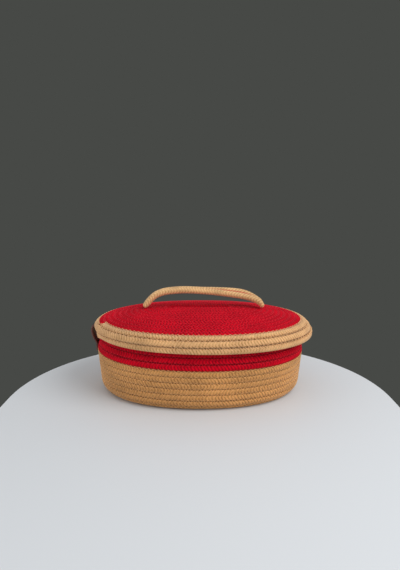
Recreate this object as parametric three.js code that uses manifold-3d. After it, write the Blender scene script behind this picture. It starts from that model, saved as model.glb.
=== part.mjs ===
import * as THREE from 'three';
import { mergeVertices } from 'three/addons/utils/BufferGeometryUtils.js';
import Module from 'manifold-3d';

const wasm = await Module();
wasm.setup();

// Lidded oval basket, coiled from jute rope, with a leather hinge at its left end.
// Millimetres. +X is the lid's free end, +Y the back, +Z up. The first run of the floor's
// coil passes through the origin, and the basket stands on z = 0.

// Rope, its rows and how it is faceted
const ROPE_DIAMETER = 6.6;
const ROPE_SIDES = 6;
const STEPS_PER_TURN = 18;
const JOINT_GAP = 0.4;
const FOOT_FLAT_DEPTH = ROPE_DIAMETER / 10;

// Directions in plan, in degrees, and where a coil begins, in pitches from its centre
const UPRIGHT = 90;
const FRONT_ANGLE = 270;
const BACK_ANGLE = 80;
const LEFT_ANGLE = 180;
const SEAM_ANGLE = 200;
const COIL_START = 0.25;
const FLOOR_PART_STEPS = 12;

// Oval plan: a straight core that rounds off as the coil grows
const CORE_HALF_LENGTH = 33;
const ROUNDING_PER_MM = 0.011;
const STATION_BIAS = 0.25;

// Base; the floor's coil runs up a little into the corner, where the wall's first row takes over
const BASE_ROW_PITCH = 7.4;
const FLOOR_HALF_WIDTH = 82.4;
const CORNER_RADIUS = 12;
const FLOOR_RUN_UP = 3.2;
const WALL_FLARE = 5.5;
const FLARED_WALL_HEIGHT = 37;
const LEAN_IN = 25;
const LEAN_RADIUS = 20;
const LEAN_LENGTH = 9;
const CORNER_TURNS = 2;
const JUTE_TURNS = 5;
const RED_TURNS = 14 / 3;

// Lid, wider and longer than the base by set amounts
const LID_CORE_EXTRA = 1.2;
const LID_OVERHANG = 15.6;
const LID_CORE_HALF_LENGTH = CORE_HALF_LENGTH + LID_CORE_EXTRA;
const DOME_SHIFT = 1.1;
const RIM_SHIFT = 4.8;
const RIM_TUCK_START = 8;
const RIM_TUCK_LENGTH = 7;
const SEAT_CLEARANCE = 0.3;
const DOME_RADIUS = 358;
const DOME_HALF_WIDTH = FLOOR_HALF_WIDTH + LID_OVERHANG;
const DOME_TURNS = 13;
const RIM_LEAD = 1.4;
const RIM_RADIUS = 9;
const RIM_CURL = 5;
const RIM_ROW_PITCH = 7.4;
const RIM_TURNS = 3;

// Handle: its shape is a list of shares of the span and of the rise
const HANDLE_DIAMETER = 7.4;
const HANDLE_SHIFT = 4.9;
const HANDLE_SPAN = 158;
const HANDLE_RISE = 21.3;
const HANDLE_SHAPE = [
  [0, 0], [0.026, 0.15], [0.06, 0.42], [0.1, 0.67], [0.16, 0.86], [0.23, 0.95], [0.34, 1], [0.48, 0.96],
  [0.62, 0.9], [0.76, 0.8], [0.83, 0.71], [0.9, 0.53], [0.955, 0.3], [1, 0],
];
const HANDLE_SIDES = 8;
const HANDLE_STEPS = 34;
const STRAND_GAP = 0.5;
const FOOT_SINK = 0.4;
const RIGHT_ROLL = 26;
const ROLL_SHARES = [0.5, 0.75];
const UNROLL_SHARES = [0.85, 0.95];

// Leather strap: its bend is a list of shares of the way out and of the way up from rivet to slot
const STRAP_WIDTH = 18;
const STRAP_THICKNESS = 2.4;
const STRAP_TAIL = 6;
const STRAP_CORNER_RADIUS = 4;
const STRAP_CLEARANCE = 0.3;
const STRAP_BULGE = 3.6;
const STRAP_SUNK = 4.5;
const STRAP_BEND = [[0.2, 0.26], [0.62, 0.42], [0.96, 0.66], [1, 0.84]];
const STRAP_SHOULDER = 1.5;
const STRAP_STEPS = 40;

// Rivet and washer; the head's crown and edge are shares of its radius and height
const ROUND_SIDES = 16;
const RIVET_RADIUS = 1.5;
const RIVET_HEAD_RADIUS = 4;
const RIVET_HEAD_HEIGHT = 1.4;
const RIVET_CROWN_SHARES = [0.55, 0.85];
const RIVET_EDGE_SHARE = 0.2;
const RIVET_CLEARANCE = 0.3;
const BURR_RADIUS = 2.6;
const BURR_THICKNESS = 0.8;
const WASHER_RADIUS = 3.6;
const WASHER_CLEARANCE = 0.9;
const WASHER_THICKNESS = 1;

/** A path in the plane of offset and height, made of straight and round stretches. */
class Profile {
  constructor(offset, height, headingDegrees) {
    this.stretches = [];
    this.end = { offset, height, heading: THREE.MathUtils.degToRad(headingDegrees) };
    this.length = 0;
  }

  line(length) {
    return this.add(length, 0);
  }

  arc(radius, turnDegrees) {
    const turn = THREE.MathUtils.degToRad(turnDegrees);
    return this.add(radius * Math.abs(turn), Math.sign(turn) / radius);
  }

  add(length, curvature) {
    const stretch = { from: this.length, length, curvature, start: this.end };
    this.stretches.push(stretch);
    this.length += length;
    this.end = Profile.along(stretch, length);
    return this;
  }

  static along({ start, curvature }, run) {
    const heading = start.heading + curvature * run;
    if (curvature === 0) {
      return {
        offset: start.offset + run * Math.cos(heading),
        height: start.height + run * Math.sin(heading),
        heading,
      };
    }
    return {
      offset: start.offset + (Math.sin(heading) - Math.sin(start.heading)) / curvature,
      height: start.height - (Math.cos(heading) - Math.cos(start.heading)) / curvature,
      heading,
    };
  }

  at(distance) {
    const reached = this.stretches.filter((stretch) => stretch.from <= distance);
    const stretch = reached.length > 0 ? reached[reached.length - 1] : this.stretches[0];
    return Profile.along(stretch, distance - stretch.from);
  }
}

/** Plan point of the loop that lies at an offset round the core. */
function ovalPoint(coreHalfLength, offset, turnAngle) {
  const roundness = ROUNDING_PER_MM * offset;
  const spread = Math.hypot(1, STATION_BIAS / roundness);
  const angle = Math.atan2(spread * Math.sin(turnAngle), Math.cos(turnAngle));
  const cosine = Math.cos(angle);
  const alongCore = coreHalfLength * cosine * Math.hypot(1, roundness) / Math.hypot(cosine, roundness);
  return new THREE.Vector2(alongCore + offset * cosine, offset * Math.sin(angle));
}

/**
 * A coil: the rope's path, as a function of the turns wound since its start. It climbs one
 * pitch along the profile in each turn.
 */
function makeCoil({ profile, core, from, pitch, startAngle, sense, centre }) {
  const place = (turns) => {
    const distance = from + pitch * turns;
    const section = profile.at(distance);
    const angle = THREE.MathUtils.degToRad(startAngle) + sense * 2 * Math.PI * turns;
    const plan = ovalPoint(core, section.offset, angle);
    const shift = centre(section.offset, distance);
    return new THREE.Vector3(plan.x + shift.x, plan.y + shift.y, section.height);
  };
  const frame = (turns) => {
    const small = 1e-4;
    const tangent = place(turns + small).sub(place(turns - small)).normalize();
    const sheet = profile.at(from + pitch * turns).heading;
    const outward = new THREE.Vector3(tangent.y, -tangent.x, 0).multiplyScalar(sense).normalize();
    const normal = outward.multiplyScalar(-Math.sin(sheet));
    normal.z = Math.cos(sheet);
    normal.addScaledVector(tangent, -normal.dot(tangent)).normalize();
    const across = new THREE.Vector3().crossVectors(tangent, normal);
    return { point: place(turns), tangent, normal, across };
  };
  return { frame };
}

/** One ring of a rope's faceted section, with corners on the coiled sheet's normal. */
function ropeRing({ point, normal, across }) {
  return Array.from({ length: ROPE_SIDES }, (_, corner) => {
    const angle = 2 * Math.PI * corner / ROPE_SIDES;
    return point.clone()
      .addScaledVector(normal, ROPE_DIAMETER / 2 * Math.cos(angle))
      .addScaledVector(across, ROPE_DIAMETER / 2 * Math.sin(angle));
  });
}

/** The same ring with its lowest corner cut off flat, level with the ground. */
function footRing(frame) {
  const ring = ropeRing(frame);
  const lowest = ROPE_SIDES / 2;
  const cut = (neighbour) => {
    const share = FOOT_FLAT_DEPTH / (neighbour.z - ring[lowest].z);
    return ring[lowest].clone().lerp(neighbour, share);
  };
  const flat = [cut(ring[lowest - 1]), cut(ring[lowest + 1])];
  return [...ring.slice(0, lowest), ...flat, ...ring.slice(lowest + 1)];
}

/** Frames of a rope from its coil's start, drawn back at its ends along the last straight stretch. */
function ropeFrames(coil, turns, startGap, endGap) {
  const steps = Math.round(turns * STEPS_PER_TURN);
  const frames = Array.from({ length: steps + 1 }, (_, i) => coil.frame(i / STEPS_PER_TURN));
  const drawBack = (end, next, gap) => {
    const inward = next.point.clone().sub(end.point).normalize();
    end.point.addScaledVector(inward, gap);
  };
  drawBack(frames[0], frames[1], startGap);
  drawBack(frames[steps], frames[steps - 1], endGap);
  return frames;
}

/** A closed skin over rings of equal point counts, with flat ends. */
function skin(rings) {
  const count = rings[0].length;
  const positions = rings.flat().flatMap((point) => [point.x, point.y, point.z]);
  const faces = [];
  for (let ring = 0; ring + 1 < rings.length; ring += 1) {
    for (let i = 0; i < count; i += 1) {
      const a = ring * count + i;
      const b = ring * count + (i + 1) % count;
      faces.push(a, b, b + count, a, b + count, a + count);
    }
  }
  const last = (rings.length - 1) * count;
  for (let i = 1; i + 1 < count; i += 1) {
    faces.push(0, i + 1, i, last, last + i, last + i + 1);
  }
  const geometry = new THREE.BufferGeometry();
  geometry.setAttribute('position', new THREE.Float32BufferAttribute(positions, 3));
  geometry.setIndex(faces);
  return facingOut(geometry);
}

/** The same geometry with its faces turned outward, if they point in. */
function facingOut(geometry) {
  const { array } = geometry.getAttribute('position');
  const index = geometry.getIndex().array;
  const corner = (i) => new THREE.Vector3().fromArray(array, 3 * index[i]);
  let volume = 0;
  for (let i = 0; i < index.length; i += 3) {
    volume += corner(i).dot(corner(i + 1).cross(corner(i + 2)));
  }
  if (volume < 0) {
    for (let i = 0; i < index.length; i += 3) {
      [index[i], index[i + 1]] = [index[i + 1], index[i]];
    }
  }
  return geometry;
}

/** Boolean solid of a closed geometry. */
function toSolid(geometry) {
  const bare = geometry.clone();
  bare.deleteAttribute('normal');
  bare.deleteAttribute('uv');
  const merged = mergeVertices(bare, 1e-4);
  return new wasm.Manifold(new wasm.Mesh({
    numProp: 3,
    vertProperties: new Float32Array(merged.getAttribute('position').array),
    triVerts: new Uint32Array(merged.getIndex().array),
  }));
}

/** Geometry of a boolean solid. */
function toGeometry(solid) {
  const mesh = solid.getMesh();
  const geometry = new THREE.BufferGeometry();
  geometry.setAttribute('position', new THREE.Float32BufferAttribute(mesh.vertProperties, 3));
  geometry.setIndex([...mesh.triVerts]);
  return geometry;
}

/** The geometry less other geometries. */
function cutAway(geometry, ...cutters) {
  return toGeometry(cutters.reduce((solid, cutter) => solid.subtract(toSolid(cutter)), toSolid(geometry)));
}

/** Least gap between stretches of one rope that lie well apart along it, edge points to edges. */
function leastGap(rings) {
  const middles = rings.map((ring) => {
    const sum = ring.reduce((total, point) => total.add(point), new THREE.Vector3());
    return sum.divideScalar(ring.length);
  });
  const travelled = [0];
  for (let i = 1; i < middles.length; i += 1) {
    travelled.push(travelled[i - 1] + middles[i].distanceTo(middles[i - 1]));
  }
  const apart = 4 * ROPE_DIAMETER;
  const nearby = 9 * ROPE_DIAMETER;
  const nearest = new THREE.Vector3();
  const edge = new THREE.Line3();
  let least = Infinity;
  for (let i = 0; i < rings.length; i += 1) {
    for (let j = 0; j + 1 < rings.length; j += 1) {
      const toStart = Math.abs(travelled[i] - travelled[j]);
      const toEnd = Math.abs(travelled[i] - travelled[j + 1]);
      if (Math.min(toStart, toEnd) > apart && middles[i].distanceTo(middles[j]) < nearby) {
        for (const point of rings[i]) {
          for (let k = 0; k < rings[j].length; k += 1) {
            edge.set(rings[j][k], rings[j + 1][k]).closestPointToPoint(point, true, nearest);
            least = Math.min(least, nearest.distanceTo(point));
          }
        }
      }
    }
  }
  return least;
}

const ropeFlatRadius = ROPE_DIAMETER / 2 * Math.cos(Math.PI / ROPE_SIDES);

/** A stretch of coiled rope as a closed skin; prints its least gap to itself. */
function coiledRope(name, coil, turns, startGap, endGap, ring = ropeRing) {
  const rings = ropeFrames(coil, turns, startGap, endGap).map(ring);
  console.log(`${name}: ${turns.toFixed(2)} turns, least gap to itself ${leastGap(rings).toFixed(2)} mm`);
  return skin(rings);
}

// Base: one rope, wound clockwise outward and up, from the floor's first run to the wall's top
const floorPartTurn = FLOOR_PART_STEPS / STEPS_PER_TURN;
const floorTurns = floorPartTurn + Math.round(FLOOR_HALF_WIDTH / BASE_ROW_PITCH - COIL_START - floorPartTurn);
const cornerFrom = FLOOR_HALF_WIDTH + FLOOR_RUN_UP;
const floorPitch = cornerFrom / (COIL_START + floorTurns);
const floorStartAngle = BACK_ANGLE + 360 * floorTurns;
const firstRunOffset = floorPitch * (COIL_START + (floorStartAngle % 360 - FRONT_ANGLE) / 360);
const floorHeight = ROPE_DIAMETER / 2 - FOOT_FLAT_DEPTH;

const baseProfile = new Profile(0, floorHeight, 0)
  .line(FLOOR_HALF_WIDTH)
  .arc(CORNER_RADIUS, UPRIGHT - WALL_FLARE)
  .line(FLARED_WALL_HEIGHT)
  .arc(LEAN_RADIUS, WALL_FLARE + LEAN_IN)
  .line(LEAN_LENGTH)
  .arc(LEAN_RADIUS, -LEAN_IN)
  .line(BASE_ROW_PITCH);

/** The floor's coil is moved back so that its first run crosses the origin; the wall isn't. */
function baseCentre(offset) {
  const share = Math.max(0, FLOOR_HALF_WIDTH - offset) / (FLOOR_HALF_WIDTH - firstRunOffset);
  return new THREE.Vector2(0, firstRunOffset * share);
}

const baseCoil = { profile: baseProfile, core: CORE_HALF_LENGTH, sense: -1, centre: baseCentre };
const floorCoil = makeCoil({
  ...baseCoil, from: COIL_START * floorPitch, pitch: floorPitch, startAngle: floorStartAngle,
});
const wallCoil = { ...baseCoil, pitch: BASE_ROW_PITCH, startAngle: BACK_ANGLE };
const cornerCoil = makeCoil({ ...wallCoil, from: cornerFrom });
const juteFrom = cornerFrom + CORNER_TURNS * BASE_ROW_PITCH;
const juteCoil = makeCoil({ ...wallCoil, from: juteFrom });
const redFrom = juteFrom + JUTE_TURNS * BASE_ROW_PITCH;
const redCoil = makeCoil({ ...wallCoil, from: redFrom });
const wallTop = baseProfile.at(redFrom + RED_TURNS * BASE_ROW_PITCH);

/** Everything below the surface that the basket stands on. */
function underground() {
  const depth = 2 * ROPE_DIAMETER;
  const reach = 4 * (CORE_HALF_LENGTH + FLOOR_HALF_WIDTH);
  return new THREE.BoxGeometry(reach, reach, depth).translate(0, 0, -depth / 2);
}

// Lid: one coil, wound counter-clockwise outward; its red rope is joined to the rim's jute rope
const domeTurnDown = THREE.MathUtils.radToDeg(Math.asin(DOME_HALF_WIDTH / DOME_RADIUS));
const domeDrop = (offset) => DOME_RADIUS - Math.sqrt(DOME_RADIUS ** 2 - offset ** 2);
const seatHeight = wallTop.height + ropeFlatRadius + SEAT_CLEARANCE;
const domeTop = seatHeight + ROPE_DIAMETER / 2 + domeDrop(wallTop.offset);
const lidProfile = new Profile(0, domeTop, 0)
  .arc(DOME_RADIUS, -domeTurnDown)
  .arc(RIM_RADIUS, domeTurnDown - UPRIGHT - RIM_CURL)
  .line(RIM_ROW_PITCH);
const domeLength = DOME_RADIUS * THREE.MathUtils.degToRad(domeTurnDown);
const rimFrom = domeLength - RIM_LEAD;
const domePitch = rimFrom / (COIL_START + DOME_TURNS);

/** The rim sits further to the right than the dome, so its lower rows tuck in at the hinge. */
function lidCentre(_, distance) {
  const tuckFrom = rimFrom + RIM_TUCK_START;
  const share = THREE.MathUtils.smoothstep(distance, tuckFrom, tuckFrom + RIM_TUCK_LENGTH);
  return new THREE.Vector2(THREE.MathUtils.lerp(DOME_SHIFT, RIM_SHIFT, share), 0);
}

const lidCoil = {
  profile: lidProfile, core: LID_CORE_HALF_LENGTH, sense: 1, startAngle: SEAM_ANGLE, centre: lidCentre,
};
const domeCoil = makeCoil({ ...lidCoil, from: COIL_START * domePitch, pitch: domePitch });
const rimCoil = makeCoil({ ...lidCoil, from: rimFrom, pitch: RIM_ROW_PITCH });

// Handle: two rope strands side by side over the lid, with their ends sewn down on the dome

/** Height of the dome's upper crests over the lid's long axis, at some X. */
function domeCrest(x) {
  const beyondCore = Math.max(0, Math.abs(x - DOME_SHIFT) - LID_CORE_HALF_LENGTH);
  return domeTop - domeDrop(beyondCore) + ROPE_DIAMETER / 2;
}

/** Frames of one strand; the pair lies flat and rolls towards the front on its right part. */
function strandFrames(side) {
  const flatRadius = HANDLE_DIAMETER / 2 * Math.cos(Math.PI / HANDLE_SIDES);
  const leftFoot = domeCrest(HANDLE_SHIFT - HANDLE_SPAN / 2) + flatRadius - FOOT_SINK;
  const rightFoot = domeCrest(HANDLE_SHIFT + HANDLE_SPAN / 2) + flatRadius - FOOT_SINK;
  const spacing = HANDLE_DIAMETER + STRAND_GAP;
  const route = new THREE.CatmullRomCurve3(HANDLE_SHAPE.map(([along, rise]) => {
    const rolled = THREE.MathUtils.smoothstep(along, ...ROLL_SHARES);
    const unrolled = THREE.MathUtils.smoothstep(along, ...UNROLL_SHARES);
    const roll = THREE.MathUtils.degToRad(RIGHT_ROLL) * rolled * (1 - unrolled);
    const footHeight = THREE.MathUtils.lerp(leftFoot, rightFoot, along);
    return new THREE.Vector3(
      HANDLE_SHIFT + HANDLE_SPAN * (along - 0.5),
      side * spacing / 2 * Math.cos(roll),
      footHeight + HANDLE_RISE * rise + side * spacing / 2 * Math.sin(roll),
    );
  }), false, 'centripetal');
  return Array.from({ length: HANDLE_STEPS + 1 }, (_, i) => {
    const tangent = route.getTangentAt(i / HANDLE_STEPS);
    const across = new THREE.Vector3(0, 1, 0).addScaledVector(tangent, -tangent.y).normalize();
    return { point: route.getPointAt(i / HANDLE_STEPS), across, normal: across.clone().cross(tangent) };
  });
}

function handleStrand(side) {
  return skin(strandFrames(side).map(({ point, across, normal }) =>
    Array.from({ length: HANDLE_SIDES }, (_, corner) => {
      const angle = 2 * Math.PI * (corner + 0.5) / HANDLE_SIDES;
      return point.clone()
        .addScaledVector(across, HANDLE_DIAMETER / 2 * Math.cos(angle))
        .addScaledVector(normal, HANDLE_DIAMETER / 2 * Math.sin(angle));
    })));
}

// Leather hinge at the left end, riveted to the wall and sunk between two rows of the rim
const wallLeftTurn = (BACK_ANGLE + 360 - LEFT_ANGLE) / 360;
const rivetSeat = baseProfile.at(redFrom + BASE_ROW_PITCH * (wallLeftTurn - 0.5));
const cornerLength = CORNER_RADIUS * THREE.MathUtils.degToRad(UPRIGHT - WALL_FLARE);
const uprightRun = LEAN_RADIUS * THREE.MathUtils.degToRad(WALL_FLARE);
const widestAt = FLOOR_HALF_WIDTH + cornerLength + FLARED_WALL_HEIGHT + uprightRun;
const widestWall = baseProfile.at(widestAt).offset;
const rimLeftTurn = (LEFT_ANGLE + 360 - SEAM_ANGLE) / 360;
const slotDistance = rimFrom + RIM_ROW_PITCH * (rimLeftTurn + 0.5);
const slotSeat = lidProfile.at(slotDistance);
const rimBelowSlot = lidProfile.at(rimFrom + RIM_ROW_PITCH * (rimLeftTurn + 1));
const wallOuterX = -(CORE_HALF_LENGTH + widestWall + ROPE_DIAMETER / 2);
const rimOuterX = RIM_SHIFT - (LID_CORE_HALF_LENGTH + rimBelowSlot.offset + ROPE_DIAMETER / 2);
const slotShift = lidCentre(slotSeat.offset, slotDistance).x;
const slotMouthX = slotShift - (LID_CORE_HALF_LENGTH + slotSeat.offset + ropeFlatRadius);

const strapInnerX = wallOuterX - STRAP_CLEARANCE;
const strapSeatX = strapInnerX - STRAP_THICKNESS / 2;
const strapOuterX = rimOuterX - STRAP_BULGE - STRAP_THICKNESS / 2;

function strapRoute() {
  const rise = slotSeat.height - rivetSeat.height;
  const lean = strapOuterX - strapSeatX;
  const point = (x, z) => new THREE.Vector3(x, 0, z);
  return new THREE.CatmullRomCurve3([
    point(strapSeatX, rivetSeat.height - STRAP_TAIL),
    point(strapSeatX, rivetSeat.height),
    point(strapSeatX, rivetSeat.height + RIVET_HEAD_RADIUS),
    ...STRAP_BEND.map(([out, up]) => point(strapSeatX + out * lean, rivetSeat.height + up * rise)),
    point(strapOuterX + STRAP_SHOULDER, slotSeat.height - STRAP_THICKNESS / 2),
    point(slotMouthX - STRAP_THICKNESS / 2, slotSeat.height),
    point(slotMouthX, slotSeat.height),
    point(slotMouthX + STRAP_SUNK, slotSeat.height),
  ], false, 'centripetal');
}

function strap() {
  const route = strapRoute();
  const length = route.getLength();
  const stations = Array.from({ length: STRAP_STEPS + 1 }, (_, i) => i / STRAP_STEPS);
  return skin(stations.map((share) => {
    const fromEnd = Math.min(STRAP_CORNER_RADIUS, share * length);
    const cornerWidth = Math.sqrt(STRAP_CORNER_RADIUS ** 2 - (STRAP_CORNER_RADIUS - fromEnd) ** 2);
    const halfWidth = STRAP_WIDTH / 2 - STRAP_CORNER_RADIUS + cornerWidth;
    const tangent = route.getTangentAt(share);
    const normal = new THREE.Vector3(tangent.z, 0, -tangent.x);
    return [[1, 1], [-1, 1], [-1, -1], [1, -1]].map(([wide, thick]) => route.getPointAt(share)
      .addScaledVector(normal, thick * STRAP_THICKNESS / 2)
      .add(new THREE.Vector3(0, wide * halfWidth, 0)));
  }));
}

/** The slot in the rim that takes the strap's upper end. */
function strapSlot() {
  const depth = STRAP_SUNK + STRAP_CLEARANCE + ROPE_DIAMETER;
  const width = STRAP_WIDTH + 2 * STRAP_CLEARANCE;
  return new THREE.BoxGeometry(depth, width, STRAP_THICKNESS + 2 * STRAP_CLEARANCE)
    .translate(slotMouthX + STRAP_SUNK + STRAP_CLEARANCE - depth / 2, 0, slotSeat.height);
}

/** A round hole along X at the rivet's height. */
function rivetHole() {
  const length = 4 * ROPE_DIAMETER;
  const radius = RIVET_RADIUS + RIVET_CLEARANCE;
  return new THREE.CylinderGeometry(radius, radius, length, ROUND_SIDES)
    .rotateZ(Math.PI / 2)
    .translate(wallOuterX, 0, rivetSeat.height);
}

const headUnderX = strapSeatX - STRAP_THICKNESS / 2 - RIVET_CLEARANCE;
const rowAboveRivet = baseProfile.at(redFrom + BASE_ROW_PITCH * wallLeftTurn);
const innermostNearRivet = Math.min(rivetSeat.offset, rowAboveRivet.offset) - ROPE_DIAMETER / 2;
const washerX = -(CORE_HALF_LENGTH + innermostNearRivet) + WASHER_CLEARANCE;
const burrX = washerX + WASHER_THICKNESS + RIVET_CLEARANCE;

/** Turned piece along X, from points of radius and X. */
function turnedAlongX(points) {
  const profile = points.map(([radius, x]) => new THREE.Vector2(radius, -x));
  const geometry = new THREE.LatheGeometry(profile, ROUND_SIDES).rotateZ(Math.PI / 2);
  return facingOut(geometry.translate(0, 0, rivetSeat.height));
}

function rivet() {
  const [crownWidth, crownRise] = RIVET_CROWN_SHARES;
  return turnedAlongX([
    [0, headUnderX - RIVET_HEAD_HEIGHT],
    [crownWidth * RIVET_HEAD_RADIUS, headUnderX - crownRise * RIVET_HEAD_HEIGHT],
    [RIVET_HEAD_RADIUS, headUnderX - RIVET_EDGE_SHARE * RIVET_HEAD_HEIGHT],
    [RIVET_HEAD_RADIUS, headUnderX],
    [RIVET_RADIUS, headUnderX],
    [RIVET_RADIUS, burrX],
    [BURR_RADIUS, burrX],
    [BURR_RADIUS, burrX + BURR_THICKNESS],
    [0, burrX + BURR_THICKNESS],
  ]);
}

function washer() {
  const bore = RIVET_RADIUS + RIVET_CLEARANCE;
  return turnedAlongX([
    [bore, washerX],
    [WASHER_RADIUS, washerX],
    [WASHER_RADIUS, washerX + WASHER_THICKNESS],
    [bore, washerX + WASHER_THICKNESS],
    [bore, washerX],
  ]);
}

// Finishes
const finish = (color, roughness, metalness = 0) =>
  new THREE.MeshStandardMaterial({ color, roughness, metalness, flatShading: true });
const jute = finish('#b98f58', 0.9);
const rimJute = finish('#c9a26e', 0.9);
const redRope = finish('#a8152b', 0.85);
const leather = finish('#4a2e28', 0.55);
const brass = finish('#a58a58', 0.35, 1);

const basket = new THREE.Group();

function addPiece(name, geometry, material) {
  const mesh = new THREE.Mesh(geometry, material);
  mesh.name = name;
  basket.add(mesh);
}

const floorRope = coiledRope('base_floor', floorCoil, floorTurns, 0, JOINT_GAP / 2, footRing);
const cornerRope = coiledRope('base_corner_jute', cornerCoil, CORNER_TURNS, JOINT_GAP / 2, JOINT_GAP / 2);
const juteRope = coiledRope('base_wall_jute', juteCoil, JUTE_TURNS, JOINT_GAP / 2, JOINT_GAP / 2);
const redWallRope = coiledRope('base_wall_red', redCoil, RED_TURNS, JOINT_GAP / 2, 0);
const domeRope = coiledRope('lid_top', domeCoil, DOME_TURNS, 0, JOINT_GAP / 2);
const rimRope = coiledRope('lid_rim', rimCoil, RIM_TURNS, JOINT_GAP / 2, 0);

addPiece('base_floor', floorRope, jute);
addPiece('base_corner_jute', cutAway(cornerRope, underground()), jute);
addPiece('base_wall_jute', cutAway(juteRope, rivetHole()), jute);
addPiece('base_wall_red', cutAway(redWallRope, rivetHole()), redRope);
addPiece('lid_top', domeRope, redRope);
addPiece('lid_rim', cutAway(rimRope, strapSlot()), rimJute);
addPiece('handle_strand_front', handleStrand(-1), rimJute);
addPiece('handle_strand_rear', handleStrand(1), rimJute);
addPiece('hinge_strap', cutAway(strap(), rivetHole()), leather);
addPiece('hinge_rivet', rivet(), brass);
addPiece('hinge_washer', washer(), brass);

export default basket;
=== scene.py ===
"""Looks of the lidded basket: sewn rope coils, rope handle, leather hinge, soft studio light."""
import math

import bpy
import numpy as np
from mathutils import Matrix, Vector


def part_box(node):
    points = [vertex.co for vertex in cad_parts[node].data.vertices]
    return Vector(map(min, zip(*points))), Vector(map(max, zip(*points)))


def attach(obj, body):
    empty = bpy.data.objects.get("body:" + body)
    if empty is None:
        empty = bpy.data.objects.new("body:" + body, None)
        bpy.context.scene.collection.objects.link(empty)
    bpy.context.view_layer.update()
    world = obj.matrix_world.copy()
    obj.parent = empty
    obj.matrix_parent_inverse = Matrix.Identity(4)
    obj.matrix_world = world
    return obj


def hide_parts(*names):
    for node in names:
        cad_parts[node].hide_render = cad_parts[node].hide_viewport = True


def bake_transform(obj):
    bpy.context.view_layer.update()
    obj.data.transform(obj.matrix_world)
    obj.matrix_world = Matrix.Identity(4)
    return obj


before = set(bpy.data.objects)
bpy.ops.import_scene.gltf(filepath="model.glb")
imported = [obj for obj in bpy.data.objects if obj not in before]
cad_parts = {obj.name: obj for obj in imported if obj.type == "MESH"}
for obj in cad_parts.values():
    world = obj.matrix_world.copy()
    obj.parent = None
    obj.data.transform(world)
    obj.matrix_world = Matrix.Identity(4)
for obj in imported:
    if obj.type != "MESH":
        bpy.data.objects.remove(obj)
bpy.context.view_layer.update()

MM = 0.001
MM_PER_CM = 10


def node_box(node):
    """Lowest and highest corner of a node's solid, in millimetres."""
    return [np.array(corner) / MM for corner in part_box(node)]


# Sizes of the coils, as in the frame's solids, in millimetres and degrees
ROW_PITCH = 7.4
FLOOR_ROW_COUNT = 10 + 2 / 3
FLOOR_HALF_WIDTH = 82.4
FLOOR_CENTRE_HEIGHT = 2.64
CORE_HALF_LENGTH = 33
ROUNDING_PER_MM = 0.011
SMALLEST_OFFSET = 0.3
STATION_BIAS = 0.25
COIL_START = 0.25
FRONT_ANGLE = 270
BACK_ANGLE = 80
LEFT_ANGLE = 180
CORNER_RADIUS = 12
FLOOR_RUN_UP = 3.2
WALL_FLARE = 5.5
FLARED_WALL_HEIGHT = 37
LEAN_IN = 25
LEAN_RADIUS = 20
LEAN_LENGTH = 9
JUTE_TURNS = 7
RED_TURNS = 14 / 3

LID_CORE_HALF_LENGTH = 34.2
DOME_SHIFT = 1.1
RIM_SHIFT = 4.8
RIM_TUCK_START = 8
RIM_TUCK_LENGTH = 7
HINGE_PULL = 1.8
HINGE_PULL_LEAD = 25
HINGE_PULL_FOCUS = 6
DOME_RADIUS = 358
DOME_HALF_WIDTH = 98
DOME_TURNS = 13
RIM_LEAD = 1.4
RIM_RADIUS = 9
RIM_CURL = 5
RIM_ROW_PITCH = 7.4
RIM_TURNS = 3
SEAM_ANGLE = 200

# The solids' rope is thinner than its row spacing; the real rows press on each other
SOLID_ROPE_RADIUS = 3.3
SOLID_ROPE_SIDES = 6
ROPE_RADIUS = 3.72
ROW_OVERLAP = 0.04
DOME_TOP = node_box("lid_top")[1][2] - SOLID_ROPE_RADIUS

# Braid of the rope: four columns of lobes round it, which lean both ways as the rope slowly turns
ROPE_SIDES = 16
COLUMN_COUNT = 4
COLUMN_START = 0.5
COLUMN_ROUNDNESS = 0.6
COLUMN_SWELL = 0.3
LOBE_LENGTH = 3.7
STEPS_PER_LOBE = 4
LOBE_SLANT = 1.1
LOBE_ROUNDNESS = 1.1
LOBE_DEPTH = 0.32
DOME_LOBE_DEPTH = 0.55
HANDLE_LOBE_DEPTH = 0.2
# Painted shade in the rope's colour on the sides that lie against the next rows, and how narrow it is
PAINTED_GROOVE_SHADE = 0.75
GROOVE_NARROWNESS = 0.2
SQUARENESS = 0.66
TWIST_LENGTH = 110.0

# Ends of the ropes; curls are in turns, and shares are of the full thickness
FLOOR_START_CURL = 0.11
LID_START_CURL = 0.06
END_TAPER = 26
END_THICKNESS = 0.45
SMALLEST_TIP = 0.02

# Zigzag seam that joins the rows, from a little after a coil's start, in turns. A stitch's four points
# have shares of its length and heights over the coil's middle: it dips at its ends and in the groove.
SEAM_START = 0.05
STITCH_LENGTH = 2.95
STITCH_WIDTH = 3.6
EDGE_STITCH_WIDTH = 2
STITCH_SHARES = np.array([0, 0.2, 0.5, 0.8])
STITCH_HEIGHTS = np.array([3.3, 3.45, 2.6, 3.45])
THREAD_RADIUS = 0.3
THREAD_SIDES = 5

# Handle, as in the frame's solids
HANDLE_SHIFT = 4.9
HANDLE_SPAN = 158
HANDLE_RISE = 21.3
HANDLE_SHAPE = [
    (0, 0), (0.026, 0.15), (0.06, 0.42), (0.1, 0.67), (0.16, 0.86), (0.23, 0.95), (0.34, 1), (0.48, 0.96),
    (0.62, 0.9), (0.76, 0.8), (0.83, 0.71), (0.9, 0.53), (0.955, 0.3), (1, 0),
]
STRAND_SPACING = 7.9
STRAND_RADIUS = 3.95
LOBES_PER_HANDLE = 62
RIGHT_ROLL = 26
ROLL_STARTS = (0.5, 0.75)
ROLL_ENDS = (0.85, 0.95)
HANDLE_FOOT_HEIGHT = node_box("handle_strand_front")[0][2] + STRAND_RADIUS

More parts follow.
